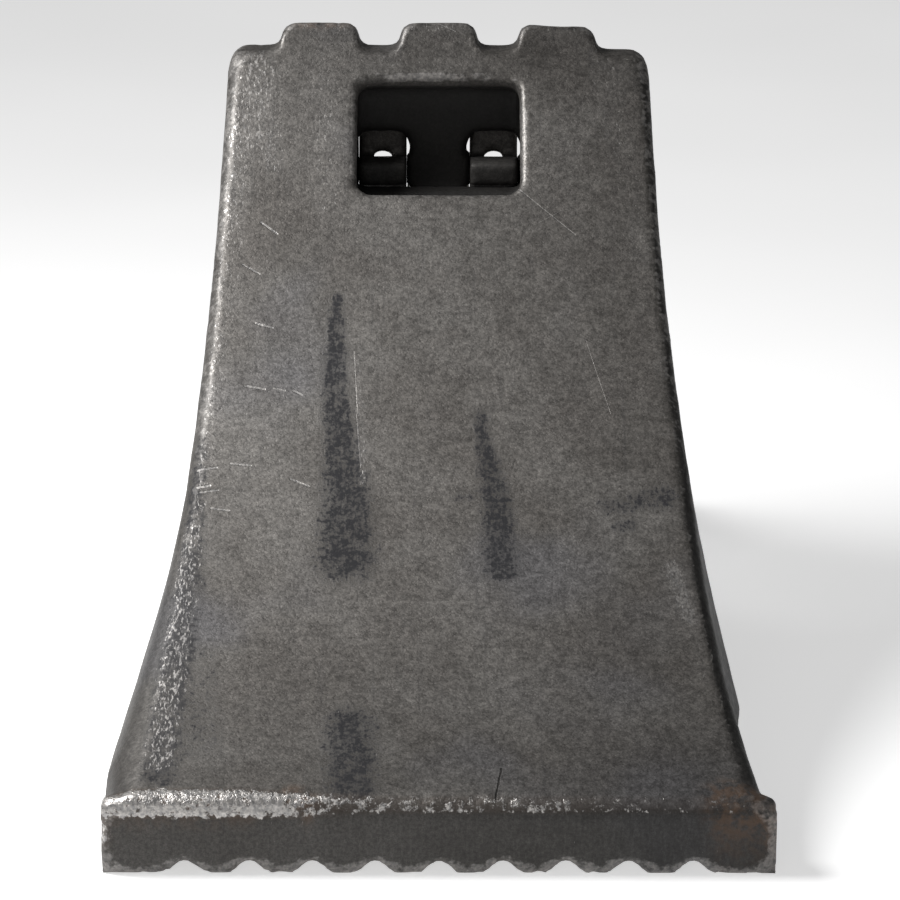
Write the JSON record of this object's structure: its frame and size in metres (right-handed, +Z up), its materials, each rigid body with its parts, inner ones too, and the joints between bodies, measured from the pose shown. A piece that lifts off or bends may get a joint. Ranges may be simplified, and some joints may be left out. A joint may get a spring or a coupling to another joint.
{
  "type": "folding wheel chock",
  "caption": "Folding cast wheel chock with a concave tyre face, a hand window, a notched toe lip and a rear brace that swings out on a hinge.",
  "frame": {"origin": "on the ground under the middle of the open chock's box", "axes": "+Z up, -Y towards the toe lip and the wheel, +X to the right for someone who looks at the tyre face from the toe"},
  "size_m": [0.216, 0.381, 0.2185],
  "materials": {
    "cast_alloy": "dark, worn sand casting",
    "steel": "plain turned steel",
    "bronze": "oil-stained sintered bronze",
    "nylon": "natural nylon",
    "rubber": "moulded black rubber"
  },
  "bodies": {
    "face": {"face_casting": "cast_alloy", "hinge_pin": "steel", "inner_thrust_washer_left": "nylon", "outer_thrust_washer_left": "nylon", "end_washer_left": "steel", "retaining_ring_left": "steel", "rubber_bumper_left": "rubber", "bumper_screw_left": "steel", "inner_thrust_washer_right": "nylon", "outer_thrust_washer_right": "nylon", "end_washer_right": "steel", "retaining_ring_right": "steel", "rubber_bumper_right": "rubber", "bumper_screw_right": "steel"},
    "brace": {"rear_brace": "cast_alloy", "brace_bushing_left": "bronze", "brace_bushing_right": "bronze"}
  },
  "joints": [
    {"name": "brace_fold", "type": "hinge", "parent": "face", "child": "brace", "pos_m": [0, 0.0935, 0.145], "axis": [-1, 0, 0], "range_deg": [0, 88]}
  ]
}
